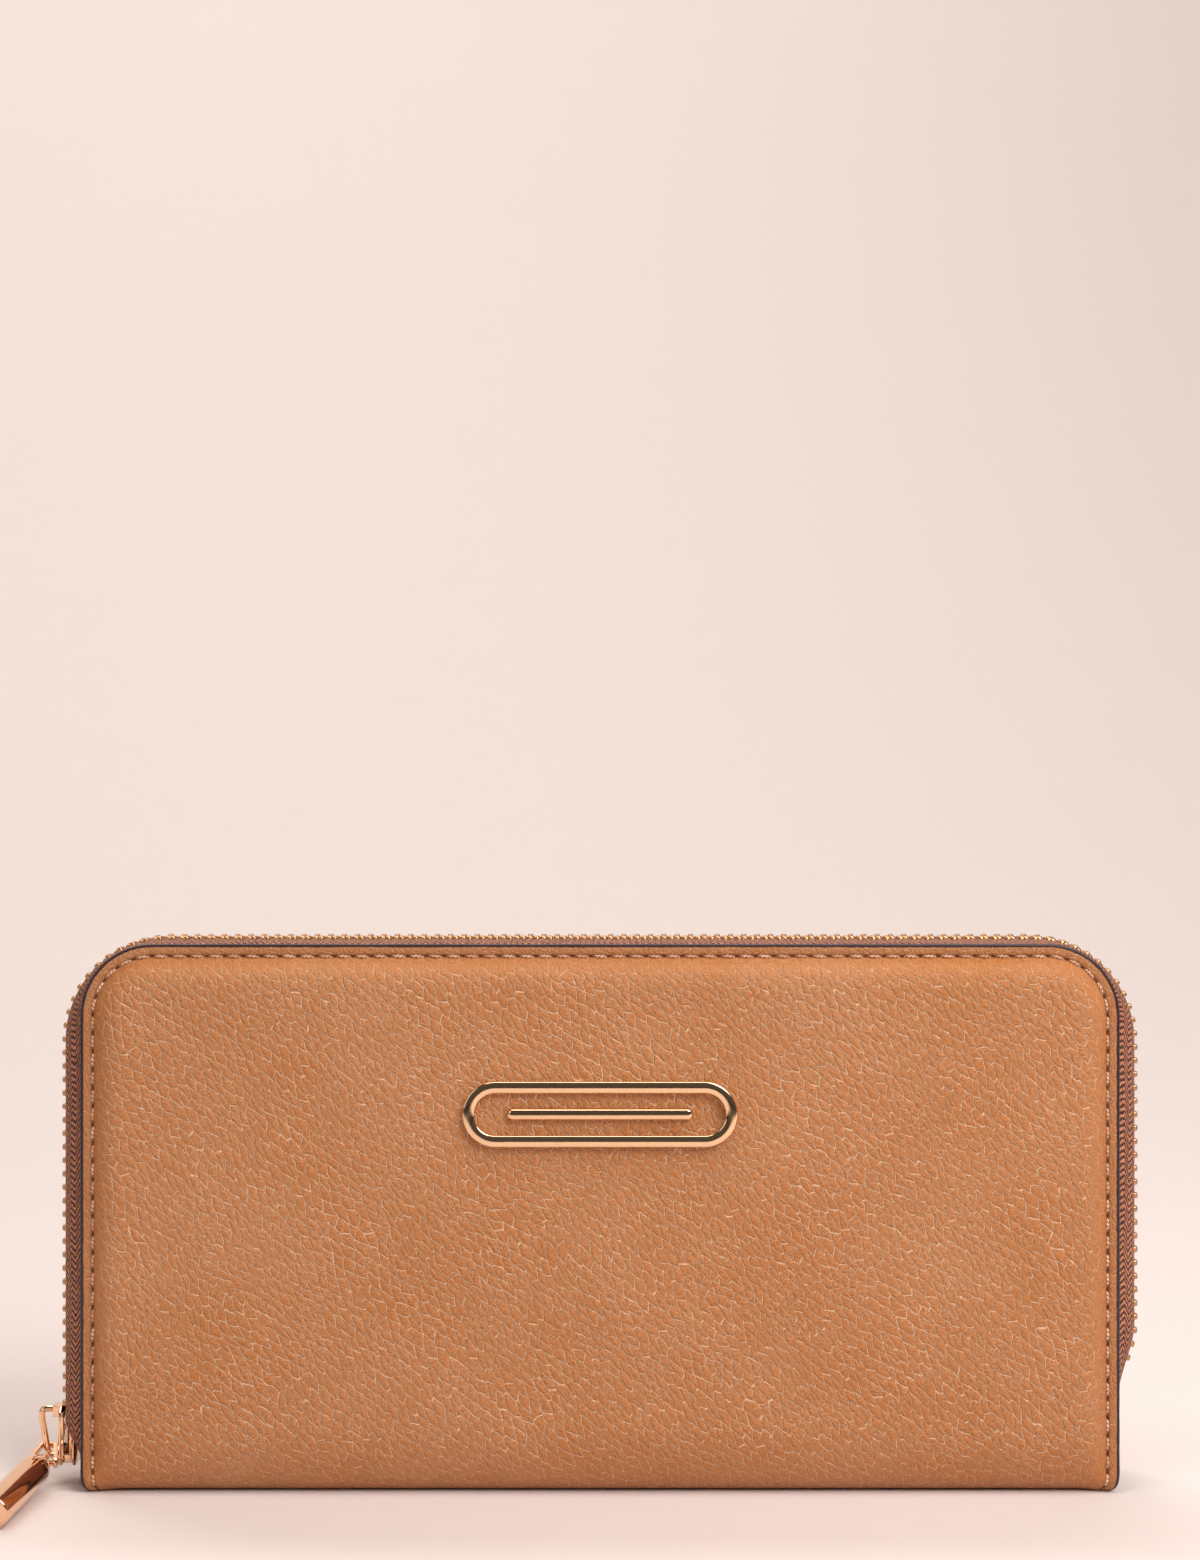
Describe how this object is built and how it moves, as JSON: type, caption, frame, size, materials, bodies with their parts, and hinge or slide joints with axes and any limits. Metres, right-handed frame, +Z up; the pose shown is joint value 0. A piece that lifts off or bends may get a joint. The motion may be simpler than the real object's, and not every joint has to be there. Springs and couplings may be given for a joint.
{
  "type": "zip around wallet",
  "caption": "Long leather wallet that stands on its spine, with padded covers, a zip round three sides, a metal pull, card strips and a zipped coin pocket.",
  "frame": {"origin": "centre of the underside of the spine, which the closed wallet stands on", "axes": "+X along the spine towards the right end seen from the front, front cover faces -Y, +Z up"},
  "size_m": [0.2087, 0.0436, 0.1018],
  "materials": {
    "leather": "pebble-grained tan leather, satin",
    "trim_leather": "smooth tan leather, satin",
    "edge_paint": "dark brown edge paint, semi-gloss",
    "thread": "bonded tan thread",
    "zip_tape": "brown herringbone zip tape",
    "tooth_gold": "pale gold plate, satin",
    "polished_gold": "pale rose gold plate, polished",
    "lining": "brown woven lining",
    "board": "grey-brown stiffening board",
    "foam": "thin foam sheet"
  },
  "bodies": {
    "spine": {"spine_leather": "leather", "spine_board": "board", "spine_lining": "lining", "front_fold_leather": "leather", "back_fold_leather": "leather", "coin_pocket_front_wall": "lining", "coin_pocket_back_wall": "lining", "coin_pocket_binding": "trim_leather", "coin_zip_front_tape": "zip_tape", "coin_zip_back_tape": "zip_tape", "coin_zip_front_teeth": "tooth_gold", "coin_zip_back_teeth": "tooth_gold", "coin_zip_stops": "tooth_gold", "front_left_gusset": "lining", "front_right_gusset": "lining", "back_left_gusset": "lining", "back_right_gusset": "lining"},
    "front_cover": {"front_leather": "leather", "front_padding": "foam", "front_board": "board", "front_lining": "lining", "front_stitching": "thread", "front_edge_paint": "edge_paint", "front_card_strip_1": "trim_leather", "front_card_strip_2": "trim_leather", "front_card_strip_3": "trim_leather", "front_card_strip_4": "trim_leather", "front_zip_tape": "zip_tape", "front_zip_teeth": "tooth_gold", "front_zip_teeth_left": "tooth_gold", "front_zip_stop": "tooth_gold", "emblem_ring": "polished_gold", "emblem_bar": "polished_gold", "emblem_washers": "polished_gold"},
    "back_cover": {"back_leather": "leather", "back_padding": "foam", "back_board": "board", "back_lining": "lining", "back_stitching": "thread", "back_edge_paint": "edge_paint", "back_card_strip_1": "trim_leather", "back_card_strip_2": "trim_leather", "back_card_strip_3": "trim_leather", "back_card_strip_4": "trim_leather", "back_zip_tape": "zip_tape", "back_zip_teeth": "tooth_gold", "back_zip_teeth_left": "tooth_gold", "back_zip_stop": "tooth_gold"},
    "slider": {"slider_body": "polished_gold", "slider_bridge": "polished_gold", "slider_lock_spring": "polished_gold"},
    "link": {"pull_link": "polished_gold"},
    "barrel": {"pull_barrel": "polished_gold", "pull_end_cap": "polished_gold"},
    "coin_slider": {"coin_slider_body": "polished_gold"},
    "coin_tab": {"coin_pull_tab": "polished_gold"}
  },
  "joints": [
    {"name": "front_fold", "type": "hinge", "parent": "spine", "child": "front_cover", "pos_m": [0, -0.0062, 0.003], "axis": [1, 0, 0], "range_deg": [0, 32], "deforming": ["front_fold_leather", "front_left_gusset", "front_right_gusset"]},
    {"name": "back_fold", "type": "hinge", "parent": "spine", "child": "back_cover", "pos_m": [0, 0.0062, 0.003], "axis": [-1, 0, 0], "range_deg": [0, 32], "deforming": ["back_fold_leather", "back_left_gusset", "back_right_gusset"]},
    {"name": "slider_run", "type": "slide", "parent": "back_cover", "child": "slider", "axis": [0, 0, 1], "range_m": [0, 0.066], "deforming": ["front_zip_teeth_left", "back_zip_teeth_left"]},
    {"name": "link_turn", "type": "hinge", "parent": "slider", "child": "link", "pos_m": [-0.1032, 0, 0.0059], "axis": [0, 0, 1], "range_deg": [-175, 0]},
    {"name": "pull_swing", "type": "hinge", "parent": "link", "child": "barrel", "pos_m": [-0.1032, -0.00483, 0.00461], "axis": [1, 0, 0], "range_deg": [-80, 70]},
    {"name": "coin_slider_run", "type": "slide", "parent": "spine", "child": "coin_slider", "axis": [1, 0, 0], "range_m": [0, 0.14], "deforming": ["coin_zip_front_teeth", "coin_zip_back_teeth"]},
    {"name": "coin_tab_swing", "type": "hinge", "parent": "coin_slider", "child": "coin_tab", "pos_m": [-0.072, 0, 0.079], "axis": [0, -1, 0], "range_deg": [0, 170]}
  ]
}
